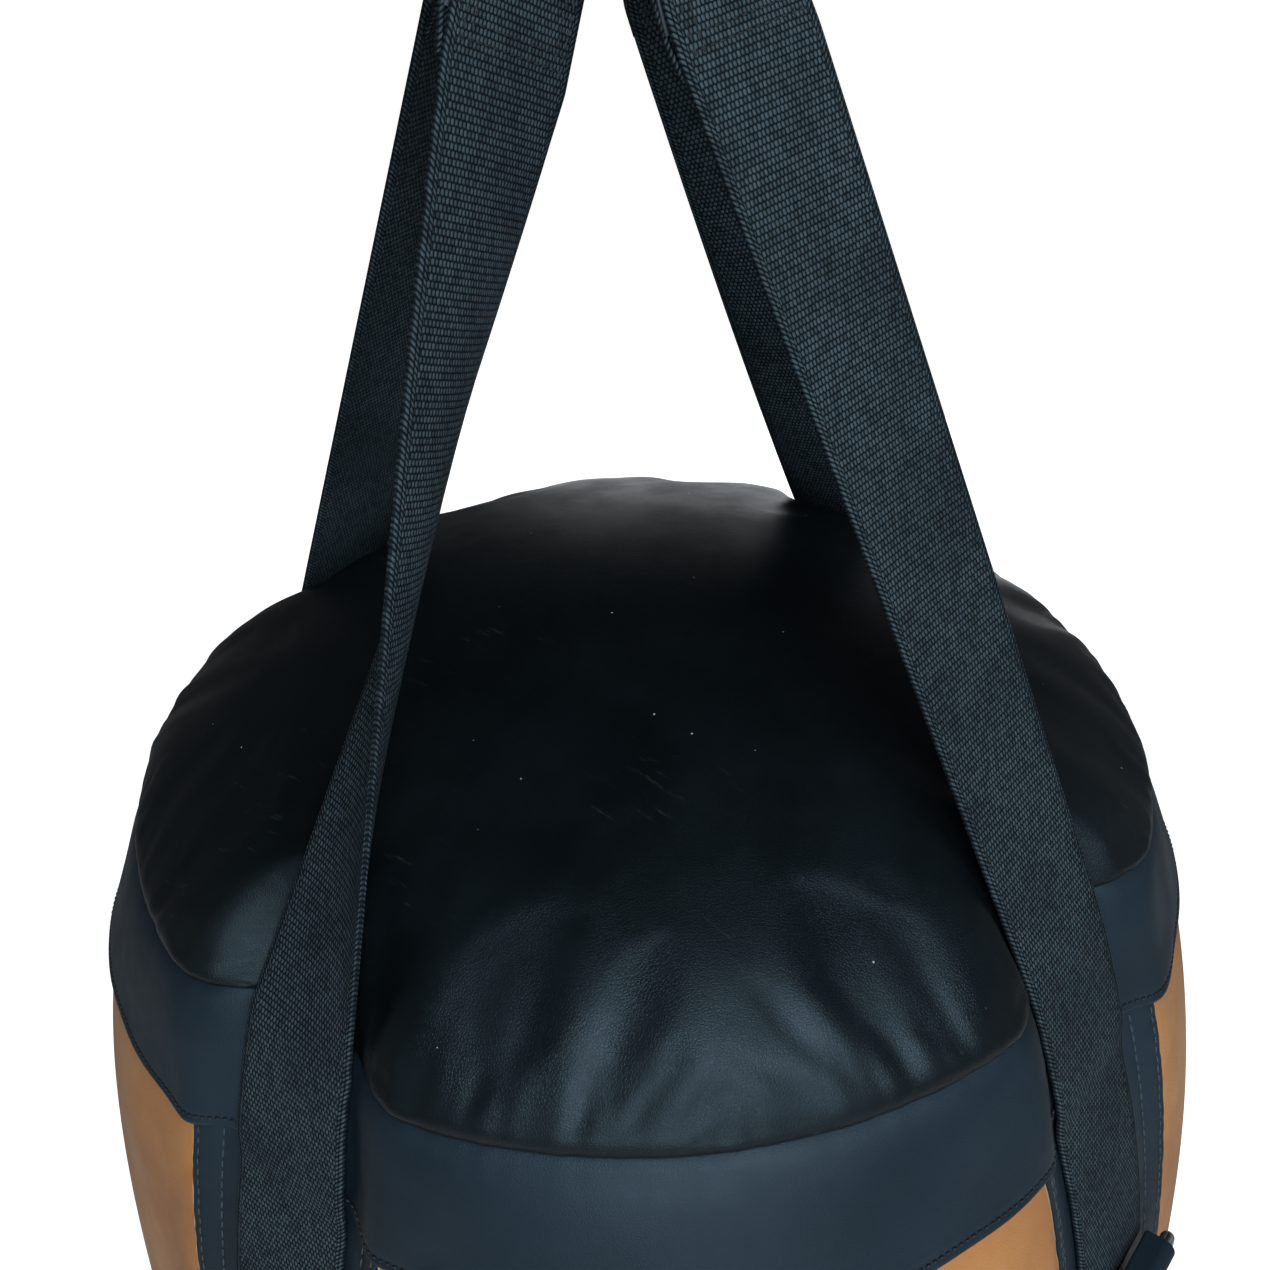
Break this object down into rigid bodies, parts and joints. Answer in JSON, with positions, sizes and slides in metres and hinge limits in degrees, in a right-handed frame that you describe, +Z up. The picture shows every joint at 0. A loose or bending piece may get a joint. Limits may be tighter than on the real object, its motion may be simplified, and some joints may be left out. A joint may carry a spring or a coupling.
{
  "type": "hanging heavy punching bag",
  "caption": "Wide leather heavy bag with a domed top, hung by stitched webbing straps from a barred plate and an eye-and-jaw swivel, with D-rings on its sides.",
  "frame": {"origin": "centre of the hole in the top eye, which the bag hangs from", "axes": "+Z up along the swivel's axis; +Y along the eye's hole; the four straps run towards +X, +Y, -X and -Y"},
  "size_m": [0.44, 0.44, 1.3831],
  "materials": {
    "forged_steel": "satin black powder coat over forged steel",
    "plated_steel": "bright zinc plate, lightly worn",
    "dark_nut": "black oxide",
    "bronze": "plain machined bronze",
    "webbing": "dark navy woven webbing, light fleck in the weave",
    "vinyl": "smooth blue-grey vinyl",
    "dome_leather": "navy-black faux leather, soft satin sheen, fine grain",
    "navy_leather": "navy faux leather, satin, stitched",
    "tan_leather": "caramel tan leather, soft sheen",
    "eyelet_metal": "pale green-grey nickel",
    "zip_teeth": "moulded teeth on woven tape",
    "foam": "closed-cell foam",
    "wadding": "shredded textile",
    "sand_bag": "sand in a canvas tube"
  },
  "bodies": {
    "hanger": {"swivel_eye": "plated_steel", "stem_nut": "dark_nut", "thrust_bearing": "plated_steel"},
    "jaw": {"swivel_jaw": "forged_steel", "jaw_bolt": "plated_steel", "jaw_nut": "dark_nut"},
    "bag": {"hanger_plate": "forged_steel", "lug_bush": "bronze", "strap_right": "webbing", "strap_back": "webbing", "strap_left": "webbing", "strap_front": "webbing", "lining_right": "vinyl", "lining_back": "vinyl", "lining_left": "vinyl", "lining_front": "vinyl", "dome_cover": "dome_leather", "collar_band": "navy_leather", "panel_front_right": "tan_leather", "panel_back_right": "tan_leather", "panel_back_left": "tan_leather", "panel_front_left": "tan_leather", "strip_right": "navy_leather", "strip_back": "navy_leather", "strip_left": "navy_leather", "strip_front": "navy_leather", "base_band": "navy_leather", "base_cover": "navy_leather", "base_zip": "zip_teeth", "vent_eyelets": "eyelet_metal", "tab_right": "navy_leather", "tab_back": "navy_leather", "tab_left": "navy_leather", "tab_front": "navy_leather", "foam_sleeve": "foam", "crown_pad": "wadding", "filling": "wadding", "sand_core": "sand_bag"},
    "anchor_ring_right": {"ring_right": "plated_steel"},
    "anchor_ring_back": {"ring_back": "plated_steel"},
    "anchor_ring_left": {"ring_left": "plated_steel"},
    "anchor_ring_front": {"ring_front": "plated_steel"},
    "zip_slider": {"zip_slider": "plated_steel"},
    "zip_puller": {"zip_puller": "plated_steel"}
  },
  "joints": [
    {"name": "swivel_spin", "type": "hinge", "parent": "hanger", "child": "jaw", "pos_m": [0, 0, -0.0343], "axis": [0, 0, 1], "continuous": true},
    {"name": "bag_swing", "type": "hinge", "parent": "jaw", "child": "bag", "pos_m": [0, 0, -0.0843], "axis": [1, 0, 0], "range_deg": [-60, 60]},
    {"name": "ring_right_lift", "type": "hinge", "parent": "bag", "child": "anchor_ring_right", "pos_m": [0.21543, 0, -0.56874], "axis": [0, -1, 0], "range_deg": [0, 170]},
    {"name": "ring_back_lift", "type": "hinge", "parent": "bag", "child": "anchor_ring_back", "pos_m": [0, 0.21543, -0.56874], "axis": [1, 0, 0], "range_deg": [0, 170]},
    {"name": "ring_left_lift", "type": "hinge", "parent": "bag", "child": "anchor_ring_left", "pos_m": [-0.21543, 0, -0.56874], "axis": [0, 1, 0], "range_deg": [0, 170]},
    {"name": "ring_front_lift", "type": "hinge", "parent": "bag", "child": "anchor_ring_front", "pos_m": [0, -0.21543, -0.56874], "axis": [-1, 0, 0], "range_deg": [0, 170]},
    {"name": "zip_slide", "type": "slide", "parent": "bag", "child": "zip_slider", "axis": [1, 0, 0], "range_m": [0, 0.232]},
    {"name": "puller_swing", "type": "hinge", "parent": "zip_slider", "child": "zip_puller", "pos_m": [-0.116, 0, -1.33409], "axis": [0, 1, 0], "range_deg": [-80, 80]}
  ]
}
